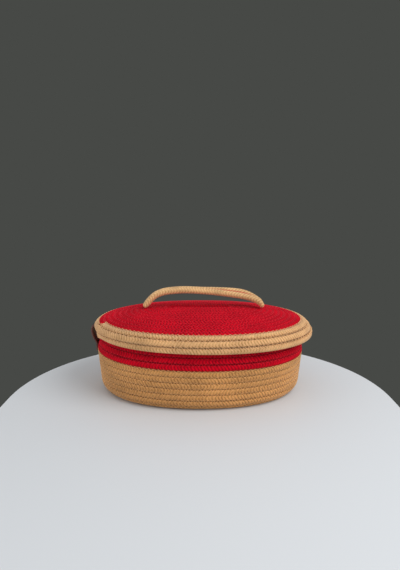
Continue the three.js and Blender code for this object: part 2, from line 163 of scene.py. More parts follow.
# The handle's feet are pressed flat by their stitches; shares are of the strand's full size
LEFT_FOOT_TAPER = 7
LEFT_FOOT_THICKNESS = 0.8
RIGHT_FOOT_TAPER = 9
RIGHT_FOOT_THICKNESS = 0.72
RIGHT_FOOT_SPACING = 0.85
FOOT_TIP_RADIUS = 2.2
FOOT_SPREAD = 0.15
FOOT_SINK = 0.8

# Stitches along the handle's groove and over its feet. Those over the feet grow with the distance
# from the strands' ends; their widths and heights are shares for no size and for full size.
GROOVE_STITCH_COUNT = 70
GROOVE_STITCH_WIDTH = 1.3
GROOVE_STITCH_SIDES = [-1, -0.2, 1, 0.2]
GROOVE_STITCH_HEIGHTS = [2.7, 2.75, 2.7, 1.9]
GROOVE_THREAD_RADIUS = 0.35
FOOT_STITCH_PLACES = (3.2, 6.4, 9.6)
FOOT_STITCH_GROWTH = 16
FOOT_STITCH_START = 0.5
FOOT_STITCH_WIDTHS = (0.86, 0.96)
RIGHT_STITCH_WIDTHS = (0.72, 0.92)
FOOT_STITCH_HEIGHTS = (-0.55, 1.35)
FOOT_STITCH_DIVE = 0.15
FOOT_STITCH_SUNK = 1
FOOT_STITCH_POINTS = 15

# Strap and rivet, as in the frame's solids
STRAP_WIDTH = 18
STRAP_THICKNESS = 2.4
STRAP_TAIL = 6
STRAP_CORNER_RADIUS = 4
STRAP_CLEARANCE = 0.3
STRAP_BULGE = 3.6
STRAP_SUNK = 4.5
STRAP_BEND = [(0.2, 0.26), (0.62, 0.42), (0.96, 0.66), (1, 0.84)]
STRAP_SHOULDER = 1.5
STRAP_EDGE_RADIUS = 0.8
STRAP_TIP_LENGTH = 0.9
STRAP_TIP_THICKNESS = 0.25
STRAP_STEPS = 110
RIVET_HEAD_RADIUS = 4
RIVET_HEAD_HEIGHT = 1.3
RIVET_END_RADIUS = 1.8
WASHER_BORE_RADIUS = 1.8
WASHER_EDGE = 0.25
SMALLEST_RADIUS = 0.02

# Points of the rivet's outline, each a radius and how far in from the head's top or the washer it is
RIVET_HEAD_EDGE = [(4, 1.25), (3.9, 1.4), (1.5, 1.4)]
RIVET_FLATTENED_END = [(1.5, 0.1), (2.4, 0.15), (2.6, 0.5)]


def linear(hex_colour):
    """Linear RGBA of an sRGB hex colour."""
    channels = [int(hex_colour[i:i + 2], 16) / 255 for i in (1, 3, 5)]
    return [c / 12.92 if c <= 0.04045 else ((c + 0.055) / 1.055) ** 2.4 for c in channels] + [1.0]


def add_node(tree, kind, links=None, **settings):
    """Adds a node; settings name its properties, and links maps an input to a value or a socket."""
    node = tree.nodes.new(kind)
    for name, value in settings.items():
        setattr(node, name, value)
    for key, value in (links or {}).items():
        if isinstance(value, bpy.types.NodeSocket):
            tree.links.new(value, node.inputs[key])
        else:
            node.inputs[key].default_value = value
    return node


def smoothstep(value, low, high):
    """Rises smoothly from 0 at low to 1 at high."""
    share = np.clip((value - low) / (high - low), 0, 1)
    return share * share * (3 - 2 * share)


def between(low, high, share):
    """The value at a share of the way from low to high."""
    return low + (high - low) * share


def travelled_to(points):
    """Distance travelled along a line to each of its points."""
    return np.concatenate([[0], np.cumsum(np.linalg.norm(np.diff(points, axis=0), axis=1))])


def unit(vectors):
    return vectors / np.linalg.norm(vectors, axis=-1, keepdims=True)


class Profile:
    """A path in the plane of offset and height, made of straight and round stretches."""

    def __init__(self, offset, height):
        self.stretches = []
        self.end = (offset, height, 0.0)
        self.length = 0.0

    def line(self, length):
        return self.add(length, 0.0)

    def arc(self, radius, turn_degrees):
        turn = math.radians(turn_degrees)
        return self.add(radius * abs(turn), math.copysign(1 / radius, turn))

    def add(self, length, curvature):
        stretch = (self.length, curvature, self.end)
        self.stretches.append(stretch)
        self.length += length
        self.end = tuple(float(v[0]) for v in self.along(stretch, np.array([self.length])))
        return self

    @staticmethod
    def along(stretch, distance):
        """Offset, height and heading at a distance that lies on one stretch."""
        start, curvature, (offset, height, heading) = stretch
        run = distance - start
        turned = heading + curvature * run
        if curvature == 0:
            return offset + run * math.cos(heading), height + run * math.sin(heading), turned
        return (offset + (np.sin(turned) - math.sin(heading)) / curvature,
                height - (np.cos(turned) - math.cos(heading)) / curvature, turned)

    def at(self, distance):
        """Offset, height and heading at each distance along the path."""
        distance = np.asarray(distance, float)
        result = [np.zeros_like(distance) for _ in range(3)]
        for stretch in self.stretches:
            reached = distance >= stretch[0] if stretch[0] > 0 else np.ones_like(distance, bool)
            for values, found in zip(result, self.along(stretch, distance)):
                values[reached] = np.broadcast_to(found, distance.shape)[reached]
        return result


def oval(core, offset, angle):
    """Plan point of the loop that lies at an offset round the core."""
    roundness = ROUNDING_PER_MM * np.maximum(offset, SMALLEST_OFFSET)
    spread = np.hypot(1, STATION_BIAS / roundness)
    turned = np.arctan2(spread * np.sin(angle), np.cos(angle))
    cosine = np.cos(turned)
    along_core = core * cosine * np.hypot(1, roundness) / np.hypot(cosine, roundness)
    return along_core + offset * cosine, offset * np.sin(turned)


class Coil:
    """A rope's path that climbs one pitch along a profile in each turn."""

    def __init__(self, profile, core, start, pitch, start_angle, sense, centre):
        self.profile = profile
        self.core = core
        self.start = start
        self.pitch = pitch
        self.start_angle = start_angle
        self.sense = sense
        self.centre = centre

    def sheet_point(self, turns, climb=0.0):
        """Point of the coiled sheet at some turns, moved along the profile by a climb."""
        distance = self.start + self.pitch * turns + climb
        offset, height, _ = self.profile.at(distance)
        angle = math.radians(self.start_angle) + self.sense * 2 * math.pi * turns
        x, y = oval(self.core, offset, angle)
        shift_x, shift_y = self.centre(offset, distance, angle)
        return np.stack([x + shift_x, y + shift_y, height], axis=-1)

    def sheet_normal(self, turns, climb=0.0):
        """Normal of the coiled sheet: up on a floor, inward on a wall, outward on the lid's rim."""
        small_turn = 1e-4
        before, after = (self.sheet_point(turns + side * small_turn, climb) for side in (-1, 1))
        tangent = after - before
        heading = self.profile.at(self.start + self.pitch * turns + climb)[2]
        outward = np.stack([tangent[:, 1], -tangent[:, 0]], axis=-1) * self.sense
        return np.column_stack([-unit(outward) * np.sin(heading)[:, None], np.cos(heading)])

    def evenly(self, first_turn, last_turn, step):
        """Turns whose rope points lie one step apart, and the distance travelled to each."""
        points_per_turn = 720
        fine = np.linspace(first_turn, last_turn, int((last_turn - first_turn) * points_per_turn) + 2)
        travelled = travelled_to(self.sheet_point(fine))
        wanted = np.arange(0, travelled[-1], step)
        return np.interp(wanted, travelled, fine), wanted


def mesh_object(name, points, faces, material):
    """A plain mesh object from points in millimetres."""
    mesh = bpy.data.meshes.new(name)
    mesh.from_pydata((np.asarray(points) * MM).tolist(), [], faces)
    mesh.validate()
    mesh.materials.append(material)
    piece = bpy.data.objects.new(name, mesh)
    bpy.context.scene.collection.objects.link(piece)
    return piece


def swept_mesh(name, rings, travelled, material, section_length):
    """A closed tube over rings of points, with its two UV maps."""
    count, sides = rings.shape[:2]
    around = np.arange(sides)
    following = (around + 1) % sides
    near = np.arange(count - 1)[:, None] * sides
    far = near + sides
    quads = np.stack([near + around, near + following, far + following, far + around], axis=-1)
    caps = [list(range(sides - 1, -1, -1)), list(range((count - 1) * sides, count * sides))]
    piece = mesh_object(name, rings.reshape(-1, 3), quads.reshape(-1, 4).tolist() + caps, material)
    piece.data.shade_smooth()
    add_uv_maps(piece.data, sides, travelled, section_length)
    return piece


def add_uv_maps(mesh, sides, travelled, section_length):
    """A tube's UV maps: Along runs along and round it, in centimetres; OFBake lays it out in strips
    over the unit square."""
    around = np.arange(sides)
    ring = np.arange(len(travelled) - 1)
    ends = np.stack([ring, ring, ring + 1, ring + 1], axis=-1)
    share = np.stack([around, around + 1, around + 1, around], axis=-1) / sides
    round_it = np.broadcast_to(share[None], (len(ring), sides, 4))
    along = np.broadcast_to(travelled[ends][:, None, :], round_it.shape)
    pattern = np.stack([along / MM_PER_CM, round_it * section_length / MM_PER_CM], axis=-1)

    strip_count = max(1, int(math.sqrt(travelled[-1] / section_length)))
    rings_per_strip = math.ceil(len(ring) / strip_count)
    strip = ring // rings_per_strip
    inside = (ends - (strip * rings_per_strip)[:, None]) / rings_per_strip
    margin = 0.04
    bake_u = np.broadcast_to(inside[:, None, :], round_it.shape)
    bake_v = (strip[:, None, None] + margin + (1 - 2 * margin) * round_it) / strip_count
    bake = np.stack([bake_u, bake_v], axis=-1)

    for title, values in (("Along", pattern), ("OFBake", bake)):
        layer = mesh.uv_layers.new(name=title)
        full = np.zeros((len(mesh.loops), 2))
        full[:values.size // 2] = values.reshape(-1, 2)
        layer.data.foreach_set("uv", full.ravel())


def store(piece, name, values):
    """A number for each point of a piece, kept as an attribute."""
    attribute = piece.data.attributes.new(name, "FLOAT", "POINT")
    attribute.data.foreach_set("value", np.asarray(values, np.float32).ravel())


def start_tree(name, sizes, counts=()):
    """A Geometry Nodes tree with inputs for a shape, its sizes and counts and its finish."""
    tree = bpy.data.node_groups.new(name, "GeometryNodeTree")
    tree.interface.new_socket("Geometry", in_out="OUTPUT", socket_type="NodeSocketGeometry")
    sockets = [("Geometry", "Geometry"), *((title, "Float") for title in sizes),
               *((title, "Int") for title in counts), ("Finish", "Material")]
    for title, kind in sockets:
        tree.interface.new_socket(title, in_out="INPUT", socket_type=f"NodeSocket{kind}")
    return tree, add_node(tree, "NodeGroupInput").outputs


def end_tree(tree, shape, finish):
    """Ends a tree with its shape as real geometry in its finish."""
    real = add_node(tree, "GeometryNodeRealizeInstances", {"Geometry": shape})
    finished = add_node(tree, "GeometryNodeSetMaterial",
                        {"Geometry": real.outputs[0], "Material": finish})
    add_node(tree, "NodeGroupOutput", {"Geometry": finished.outputs[0]})


def braid_tree():
    """Presses the braid's slanted lobes into a smooth tube, by the attributes along and around."""
    sizes = ("Lobe Length", "Lobe Slant", "Lobe Depth", "Twist Length", "Groove Shade")
    tree, inputs = start_tree("Braided rope", sizes)
    found = {title: inputs[title] for title in sizes}
    for title in ("along", "around"):
        attribute = add_node(tree, "GeometryNodeInputNamedAttribute", {"Name": title}, data_type="FLOAT")
        found[title] = attribute.outputs[0]
    # Each step is a result, an operation and its values, which are numbers or earlier results
    steps = [
        # Which column a point is in; the columns turn slowly about the rope
        ("twisted", "DIVIDE", "along", "Twist Length"),
        ("twisted", "ADD", "twisted", COLUMN_START),
        ("column", "MULTIPLY", "around", COLUMN_COUNT),
        ("column", "ADD", "column", "twisted"),
        # Lobes along the rope, which lean one way in a column and the other way in the next
        ("slanted", "PINGPONG", "column", 1.0),
        ("slanted", "MULTIPLY", "slanted", "Lobe Slant"),
        ("lobe", "DIVIDE", "along", "Lobe Length"),
        ("lobe", "ADD", "lobe", "slanted"),
        ("lobe", "MULTIPLY", "lobe", math.pi),
        ("lobe", "SINE", "lobe"),
        ("lobe", "ABSOLUTE", "lobe"),
        ("lobe", "POWER", "lobe", LOBE_ROUNDNESS),
        # Each column stands up in its middle
        ("swell", "FRACT", "column"),
        ("swell", "MULTIPLY", "swell", math.pi),
        ("swell", "SINE", "swell"),
        ("swell", "POWER", "swell", COLUMN_ROUNDNESS),
        ("swell", "MULTIPLY_ADD", "swell", COLUMN_SWELL, 1 - COLUMN_SWELL),
        ("relief", "MULTIPLY", "lobe", "swell"),
        # The sides that lie against the next rows get painted shade, in the colour only
        ("shade", "MULTIPLY", "around", 2 * math.pi),
        ("shade", "COSINE", "shade"),
        ("shade", "ABSOLUTE", "shade"),
        ("shade", "POWER", "shade", GROOVE_NARROWNESS),
        ("shade", "SUBTRACT", 1.0, "shade"),
        ("shade", "MULTIPLY", "shade", "Groove Shade"),
        ("light", "SUBTRACT", 1.0, "shade"),
        ("light", "MULTIPLY", "relief", "light"),
        ("depth", "SUBTRACT", "relief", 1.0),
        ("depth", "MULTIPLY", "depth", "Lobe Depth"),
    ]
    for title, operation, *values in steps:
        terms = {place: found.get(value, value) for place, value in enumerate(values)}
        found[title] = add_node(tree, "ShaderNodeMath", terms, operation=operation).outputs[0]
    normal = add_node(tree, "GeometryNodeInputNormal").outputs[0]
    push = add_node(tree, "ShaderNodeVectorMath", {0: normal, "Scale": found["depth"]}, operation="SCALE")
    moved = add_node(tree, "GeometryNodeSetPosition",
                     {"Geometry": inputs["Geometry"], "Offset": push.outputs[0]})
    # The relief, darkened on the rows' sides, is stored for the colour, which paints shade by it
    stored = add_node(tree, "GeometryNodeStoreNamedAttribute",
                      {"Geometry": moved.outputs[0], "Name": "relief", "Value": found["light"]},
                      data_type="FLOAT", domain="POINT")
    end_tree(tree, stored.outputs[0], inputs["Finish"])
    return tree


def thread_tree():
    """Turns a line of points into a thread."""
    tree, inputs = start_tree("Sewing thread", ["Thread Radius"], ["Thread Sides"])
    line = add_node(tree, "GeometryNodeMeshToCurve", {"Mesh": inputs["Geometry"]})
    section = add_node(tree, "GeometryNodeCurvePrimitiveCircle",
                       {"Resolution": inputs["Thread Sides"], "Radius": inputs["Thread Radius"]},
                       mode="RADIUS")
    skin = add_node(tree, "GeometryNodeCurveToMesh",
                    {"Curve": line.outputs[0], "Profile Curve": section.outputs[0], "Fill Caps": True})
    smooth = add_node(tree, "GeometryNodeSetShadeSmooth", {"Geometry": skin.outputs[0]})
    end_tree(tree, smooth.outputs[0], inputs["Finish"])
    return tree


def apply_tree(piece, tree, **values):
    """Runs a Geometry Nodes tree on a piece and keeps its result as a plain mesh."""
    modifier = piece.modifiers.new(tree.name, "NODES")
    modifier.node_group = tree
    inputs = [item for item in tree.interface.items_tree if item.in_out == "INPUT"]
    identifiers = {item.name: item.identifier for item in inputs}
    for title, value in values.items():
        modifier[identifiers[title.replace("_", " ")]] = value
    evaluated = piece.evaluated_get(bpy.context.evaluated_depsgraph_get())
    mesh = bpy.data.meshes.new_from_object(evaluated)
    piece.modifiers.remove(modifier)
    mesh.name = piece.name
    piece.data = mesh
    return piece


def new_material(name):
    """An empty material and its node tree."""
    material = bpy.data.materials.new(name)
    material.use_nodes = True
    material.node_tree.nodes.clear()
    return material, material.node_tree


def show_surface(tree, looks):
    """Ends a material's tree with a surface that has these looks."""
    surface = add_node(tree, "ShaderNodeBsdfPrincipled", looks)
    add_node(tree, "ShaderNodeOutputMaterial", {"Surface": surface.outputs[0]})


def set_stops(ramp, *stops):
    """Gives a colour ramp its stops, each a position and a hex colour."""
    elements = ramp.color_ramp.elements
    while len(elements) < len(stops):
        elements.new(0.5)
    for element, (position, colour) in zip(elements, stops):
        element.position = position
        element.color = linear(colour)


def varied(tree, colour, patterns):
    """A colour that patterns make darker and paler, each with its least and greatest brightness."""
    # A noise pattern's values lie mostly between 0.3 and 0.7
    brightness = 1.0
    for pattern, least, greatest in patterns:
        part = add_node(tree, "ShaderNodeMapRange",
                        {"Value": pattern, "From Min": 0.3, "From Max": 0.7,
                         "To Min": least, "To Max": greatest})
        product = add_node(tree, "ShaderNodeMath", {0: brightness, 1: part.outputs[0]},
                           operation="MULTIPLY")
        brightness = product.outputs[0]
    shaded = add_node(tree, "ShaderNodeVectorMath", {0: colour, "Scale": brightness}, operation="SCALE")
    return shaded.outputs[0]


# Real sizes of the materials' patterns, in millimetres; a stretch makes one finer in a direction.
# Single jute fibres are under 0.1 mm thick and too fine to show, so their tufts are drawn.
FIBRE_TUFT = 10 / 9
TUFT_STRETCH = (5.0, 1.4, 1.0)
STRAND_PATCH = 10 / 3
ROPE_PATCH = 250 / 7
THREAD_TWIST = 10 / 9
THREAD_PATCH = 25
LEATHER_PEBBLE = 5 / 7
LEATHER_CREASE = 25 / 4
CREASE_STRETCH = (1.0, 1.0, 0.5)
LEATHER_PATCH = 100 / 7
TARNISH_SPOT = 10 / 3


def rope_material(name, high, low, painted_hollow_shade, sheen=0.15):
    """Braided bast fibre: dull, hairy strands, paler where they stand up, with painted shade in the
    hollows.
    """
    material, tree = new_material(name)
    along = add_node(tree, "ShaderNodeUVMap", uv_map="Along").outputs[0]
    place = add_node(tree, "ShaderNodeTexCoord").outputs["Object"]
    relief = add_node(tree, "ShaderNodeAttribute", attribute_name="relief").outputs["Fac"]
    stretched = add_node(tree, "ShaderNodeMapping", {"Vector": along, "Scale": TUFT_STRETCH}).outputs[0]
    fibres = add_node(tree, "ShaderNodeTexNoise",
                      {"Vector": stretched, "Scale": MM_PER_CM / FIBRE_TUFT, "Detail": 4.0}).outputs[0]
    strands = add_node(tree, "ShaderNodeTexNoise",
                       {"Vector": along, "Scale": MM_PER_CM / STRAND_PATCH, "Detail": 2.0}).outputs[0]
    patches = add_node(tree, "ShaderNodeTexNoise",
                       {"Vector": place, "Scale": 1 / (ROPE_PATCH * MM), "Detail": 2.0}).outputs[0]
    # The colour paints shade: it darkens with the stored relief towards the hollows and the rows' sides
    ramp = add_node(tree, "ShaderNodeValToRGB", {"Fac": relief})
    set_stops(ramp, (0.12, painted_hollow_shade), (0.42, low), (0.85, high))
    colour = varied(tree, ramp.outputs[0],
                    [(patches, 0.84, 1.16), (fibres, 0.82, 1.14), (strands, 0.88, 1.1)])
    bump = add_node(tree, "ShaderNodeBump", {"Height": fibres, "Strength": 0.5, "Distance": 0.4 * MM})
    show_surface(tree, {"Base Color": colour, "Normal": bump.outputs[0], "Roughness": 0.85,
                        "Specular IOR Level": 0.08, "Sheen Weight": sheen, "Sheen Roughness": 0.5})
    return material


def thread_material(name, colour):
    """Spun sewing thread, waxed: a little smoother than the rope it holds."""
    material, tree = new_material(name)
    place = add_node(tree, "ShaderNodeTexCoord").outputs["Object"]
    twist = add_node(tree, "ShaderNodeTexNoise",
                     {"Vector": place, "Scale": 1 / (THREAD_TWIST * MM), "Detail": 2.0}).outputs[0]
    patches = add_node(tree, "ShaderNodeTexNoise",
                       {"Vector": place, "Scale": 1 / (THREAD_PATCH * MM), "Detail": 2.0}).outputs[0]
    shaded = varied(tree, linear(colour)[:3], [(patches, 0.85, 1.12)])
    bump = add_node(tree, "ShaderNodeBump", {"Height": twist, "Strength": 0.4, "Distance": 0.2 * MM})
    show_surface(tree, {"Base Color": shaded, "Normal": bump.outputs[0], "Roughness": 0.75})
    return material


def leather_material():
    """Waxed brown leather: fine pebble grain, paler edges from wear and a painted highlight, a soft
    gloss.
    """
    material, tree = new_material("Waxed brown leather")
    place = add_node(tree, "ShaderNodeTexCoord").outputs["Object"]
    pebbles = add_node(tree, "ShaderNodeTexVoronoi",
                       {"Vector": place, "Scale": 1 / (LEATHER_PEBBLE * MM)}).outputs["Distance"]
    stretched = add_node(tree, "ShaderNodeMapping", {"Vector": place, "Scale": CREASE_STRETCH}).outputs[0]
    creases = add_node(tree, "ShaderNodeTexNoise",
                       {"Vector": stretched, "Scale": 1 / (LEATHER_CREASE * MM),
                        "Detail": 5.0}).outputs[0]
    patches = add_node(tree, "ShaderNodeTexNoise",
                       {"Vector": place, "Scale": 1 / (LEATHER_PATCH * MM), "Detail": 2.0}).outputs[0]
    ramp = add_node(tree, "ShaderNodeValToRGB", {"Fac": patches})
    set_stops(ramp, (0.3, "#4a2927"), (0.7, "#6e443f"))
    # Convex edges and bends are paler: wear on the edges, and a painted highlight on the strap's bends
    wear_and_highlight_mask = add_node(tree, "ShaderNodeNewGeometry").outputs["Pointiness"]
    edge = add_node(tree, "ShaderNodeMapRange", {"Value": wear_and_highlight_mask, "From Min": 0.52, "From Max": 0.6})
    rubbed_and_highlit = add_node(tree, "ShaderNodeMix",
                      {"Factor": edge.outputs[0], "A": ramp.outputs[0], "B": linear("#7a5548")},
                      data_type="RGBA")
    height = add_node(tree, "ShaderNodeMath", {0: pebbles, 1: creases}, operation="ADD")
    bump = add_node(tree, "ShaderNodeBump",
                    {"Height": height.outputs[0], "Strength": 0.35, "Distance": 0.3 * MM})
    show_surface(tree, {"Base Color": rubbed_and_highlit.outputs[2], "Normal": bump.outputs[0], "Roughness": 0.42})
    return material


def brass_material():
    """Dull old brass with a little tarnish, which is darker and less smooth."""
    material, tree = new_material("Dull brass")
    place = add_node(tree, "ShaderNodeTexCoord").outputs["Object"]
    tarnish = add_node(tree, "ShaderNodeTexNoise",
                       {"Vector": place, "Scale": 1 / (TARNISH_SPOT * MM), "Detail": 4.0}).outputs[0]
    ramp = add_node(tree, "ShaderNodeValToRGB", {"Fac": tarnish})
    set_stops(ramp, (0.35, "#7d6038"), (0.65, "#b8975c"))
    rough = add_node(tree, "ShaderNodeMapRange", {"Value": tarnish, "To Min": 0.5, "To Max": 0.25})
    show_surface(tree, {"Base Color": ramp.outputs[0], "Roughness": rough.outputs[0], "Metallic": 1.0})
    return material


def plain_material(name, colour, roughness):
    """A matt surface of one colour, for what the basket stands on."""
    material, tree = new_material(name)
    show_surface(tree, {"Base Color": linear(colour), "Roughness": roughness})
    return material


def lathe_mesh(name, points, centre, material, sides=48):
    """A turned piece with its axis along X, from points of radius and X, both in millimetres."""
    angles = 2 * math.pi * np.arange(sides) / sides
    rings = np.array([[(x, centre[0] + radius * math.cos(a), centre[1] + radius * math.sin(a))
                       for a in angles] for radius, x in points])
    girth = 2 * math.pi * max(radius for radius, _ in points)
    return swept_mesh(name, rings, travelled_to(np.array(points)), material, girth)


def base_centre(offset, *_):
    """The floor's coil is moved back so that its first run crosses the origin; the wall isn't."""
    share = np.maximum(0, FLOOR_HALF_WIDTH - offset) / (FLOOR_HALF_WIDTH - first_run_offset)
    return np.zeros_like(offset), first_run_offset * share


def lid_centre(_, distance, angle):
    """The rim sits further to the right than the dome, so its lower rows tuck in at the hinge, where
    the strap pulls them in a little more."""
    tuck_from = rim_from + RIM_TUCK_START
    tucked = smoothstep(distance, tuck_from, tuck_from + RIM_TUCK_LENGTH)
    pulled = smoothstep(distance, rim_from - HINGE_PULL_LEAD, rim_from + RIM_ROW_PITCH)
    pulled = HINGE_PULL * pulled * np.maximum(0, -np.cos(angle)) ** HINGE_PULL_FOCUS
    return DOME_SHIFT + (RIM_SHIFT - DOME_SHIFT) * tucked + pulled, np.zeros_like(distance)


wall_from = FLOOR_HALF_WIDTH + FLOOR_RUN_UP
floor_pitch = wall_from / (COIL_START + FLOOR_ROW_COUNT)
floor_start_angle = BACK_ANGLE + 360 * FLOOR_ROW_COUNT
first_run_offset = floor_pitch * (COIL_START + (floor_start_angle % 360 - FRONT_ANGLE) / 360)
base_profile = (Profile(0, FLOOR_CENTRE_HEIGHT).line(FLOOR_HALF_WIDTH).arc(CORNER_RADIUS, 90 - WALL_FLARE)
                .line(FLARED_WALL_HEIGHT).arc(LEAN_RADIUS, WALL_FLARE + LEAN_IN).line(LEAN_LENGTH)
                .arc(LEAN_RADIUS, -LEAN_IN).line(2 * ROW_PITCH))
floor_coil = Coil(base_profile, CORE_HALF_LENGTH, COIL_START * floor_pitch, floor_pitch,
                  floor_start_angle, -1, base_centre)
wall_coil = Coil(base_profile, CORE_HALF_LENGTH, wall_from, ROW_PITCH, BACK_ANGLE, -1, base_centre)

dome_turn_down = math.degrees(math.asin(DOME_HALF_WIDTH / DOME_RADIUS))
lid_profile = (Profile(0, DOME_TOP).arc(DOME_RADIUS, -dome_turn_down)
               .arc(RIM_RADIUS, dome_turn_down - 90 - RIM_CURL).line(2 * RIM_ROW_PITCH))
rim_from = DOME_RADIUS * math.radians(dome_turn_down) - RIM_LEAD
dome_pitch = rim_from / (COIL_START + DOME_TURNS)
dome_coil = Coil(lid_profile, LID_CORE_HALF_LENGTH, COIL_START * dome_pitch, dome_pitch,
                 SEAM_ANGLE, 1, lid_centre)
rim_coil = Coil(lid_profile, LID_CORE_HALF_LENGTH, rim_from, RIM_ROW_PITCH, SEAM_ANGLE, 1, lid_centre)

BRAID = braid_tree()
THREAD = thread_tree()

# Each rope's colours: where its lobes stand up, lower down, and painted shade in its hollows
NATURAL = rope_material("Natural jute rope", "#d0985e", "#bd854c", "#774b22")
PALE = rope_material("Paler jute rope", "#daac7b", "#ce9d69", "#936435")
SMOOTH = rope_material("Smooth jute rope", "#dcb280", "#cea26e", "#a88156")
CRIMSON = rope_material("Crimson dyed jute rope", "#d60421", "#ae0219", "#68000e", sheen=0.0)
NATURAL_THREAD = thread_material("Natural sewing thread", "#ecb779")
PALE_THREAD = thread_material("Paler sewing thread", "#e8bc8a")
CRIMSON_THREAD = thread_material("Crimson sewing thread", "#dc0e2d")
LEATHER = leather_material()
BRASS = brass_material()


def rope_frames(centres, guide):
    """Normal and sideways direction along a rope, with its normals near the guide's."""
    tangents = unit(np.gradient(centres, axis=0))
    normals = unit(guide - np.sum(guide * tangents, axis=1, keepdims=True) * tangents)
    return normals, np.cross(tangents, normals)


def rope_rings(centres, normals, across, high, wide, squareness=1.0):
    """Rings of a rope's section: round at squareness 1, flatter with tighter corners below it."""
    angles = 2 * math.pi * np.arange(ROPE_SIDES) / ROPE_SIDES
    # The sign is taken after rounding, so that an almost zero part has none
    upward, sideways = (np.sign(np.round(part, 9)) * np.abs(part) ** squareness
                        for part in (np.cos(angles), np.sin(angles)))
    high = np.broadcast_to(high, len(centres))[:, None, None]
    wide = np.broadcast_to(wide, len(centres))[:, None, None]
    return (centres[:, None] + high * upward[None, :, None] * normals[:, None]
            + wide * sideways[None, :, None] * across[:, None])


def rounded_end(distance, radius):
    """Share of the full radius at a distance from a rope's rounded end."""
    inside = np.clip(distance / radius, 0, 1)
    return np.sqrt(np.clip(1 - (1 - inside) ** 2, SMALLEST_TIP, 1))


def braided(name, rings, travelled, material, lobe_depth, painted_groove_shade):
    """A rope with its braid pressed in."""
    piece = swept_mesh(name, rings, travelled, material, 2 * math.pi * ROPE_RADIUS)
    store(piece, "along", np.repeat(travelled, ROPE_SIDES))
    store(piece, "around", np.tile(np.arange(ROPE_SIDES) / ROPE_SIDES, len(travelled)))
    return apply_tree(piece, BRAID, Lobe_Length=LOBE_LENGTH, Lobe_Slant=LOBE_SLANT,
                      Lobe_Depth=lobe_depth * MM, Twist_Length=TWIST_LENGTH,
                      Groove_Shade=painted_groove_shade, Finish=material)


def coiled_rope(name, coil, first_turn, last_turn, material, lobe_depth, round_start, end_thickness):
    """A stretch of coiled rope whose rows press on each other. A free end tapers to its share of the
    full thickness and is rounded; a stretch that another one follows has no end_thickness."""
    turns, travelled = coil.evenly(first_turn, last_turn, LOBE_LENGTH / STEPS_PER_LOBE)
    to_end = travelled[-1] - travelled
    thick = between(end_thickness or 1, 1, smoothstep(to_end, 0, END_TAPER))
    centres = coil.sheet_point(turns, (thick - 1) * coil.pitch / 2)
    normals, across = rope_frames(centres, coil.sheet_normal(turns))
    size = thick.copy()
    if round_start:
        size *= rounded_end(travelled, ROPE_RADIUS)
    if end_thickness:
        size *= rounded_end(to_end, ROPE_RADIUS * end_thickness)
    half_width = coil.pitch / 2 + ROW_OVERLAP
    rings = rope_rings(centres, normals, across, ROPE_RADIUS * size, half_width * size, SQUARENESS)
    rings[..., 2] = np.maximum(rings[..., 2], 0)
    return braided(name, rings, travelled, material, lobe_depth, PAINTED_GROOVE_SHADE)


def thread_line(name, points, material, radius=THREAD_RADIUS):
    """A sewing thread through a line of points."""
    mesh = bpy.data.meshes.new(name)
    edges = [(i, i + 1) for i in range(len(points) - 1)]
    mesh.from_pydata((np.asarray(points) * MM).tolist(), edges, [])
    piece = bpy.data.objects.new(name, mesh)
    bpy.context.scene.collection.objects.link(piece)
    return apply_tree(piece, THREAD, Thread_Radius=radius * MM, Thread_Sides=THREAD_SIDES,
                      Finish=material)


def zigzag(name, coil, first_turn, last_turn, material, face, width):
    """The seam's slanted stitches across the groove beside a row; each dips into the rope at its ends."""
    turns, _ = coil.evenly(first_turn, last_turn, STITCH_LENGTH)
    turn = (turns[:-1, None] + np.diff(turns)[:, None] * STITCH_SHARES).ravel()
    side = np.where(np.arange(len(turns) - 1) % 2 == 0, 1, -1)[:, None]
    climb = (coil.pitch / 2 + side * (STITCH_SHARES - 0.5) * width).ravel()
    height = np.tile(STITCH_HEIGHTS, len(turns) - 1)[:, None]
    points = coil.sheet_point(turn, climb) + face * height * coil.sheet_normal(turn, climb)
    points[:, 2] = np.maximum(points[:, 2], THREAD_RADIUS)
    return thread_line(name, points, material)


def smooth_path(points, count):
    """Evenly spaced points of a smooth curve through the given ones, and the distance to each."""
    steps_per_span = 24
    points = np.asarray(points, float)
    padded = np.vstack([2 * points[0] - points[1], points, 2 * points[-1] - points[-2]])
    spans = np.sqrt(np.linalg.norm(np.diff(padded, axis=0), axis=1))
    curve = []
    share = np.linspace(0, 1, steps_per_span, endpoint=False)[:, None]
    for i in range(1, len(padded) - 2):
        before, span, after = spans[i - 1:i + 2]
        start, end = padded[i], padded[i + 1]
        leaving = ((start - padded[i - 1]) / before - (end - padded[i - 1]) / (before + span)
                   + (end - start) / span) * span
        arriving = ((end - start) / span - (padded[i + 2] - start) / (span + after)
                    + (padded[i + 2] - end) / after) * span
        curve.append((2 * share ** 3 - 3 * share ** 2 + 1) * start
                     + (share ** 3 - 2 * share ** 2 + share) * leaving
                     + (3 * share ** 2 - 2 * share ** 3) * end
                     + (share ** 3 - share ** 2) * arriving)
    curve = np.vstack([*curve, points[-1:]])
    travelled = travelled_to(curve)
    wanted = np.linspace(0, travelled[-1], count)
    return np.column_stack([np.interp(wanted, travelled, values) for values in curve.T]), wanted


def handle_route(count):
    """Points midway between the two strands, the directions to the rear one and up, and the distance
    travelled."""
    def route(side):
        points = []
        for along, rise in HANDLE_SHAPE:
            turned = smoothstep(along, *ROLL_STARTS) * (1 - smoothstep(along, *ROLL_ENDS))
            roll = math.radians(RIGHT_ROLL) * turned
            points.append((HANDLE_SHIFT + HANDLE_SPAN * (along - 0.5), side * math.cos(roll),
                           HANDLE_FOOT_HEIGHT + HANDLE_RISE * rise + side * math.sin(roll)))
        return smooth_path(points, count)
    middle, travelled = route(0)
    rearward = unit(route(1)[0] - middle)
    upward = unit(np.cross(unit(np.gradient(middle, axis=0)), rearward))
    return middle, rearward, upward, travelled


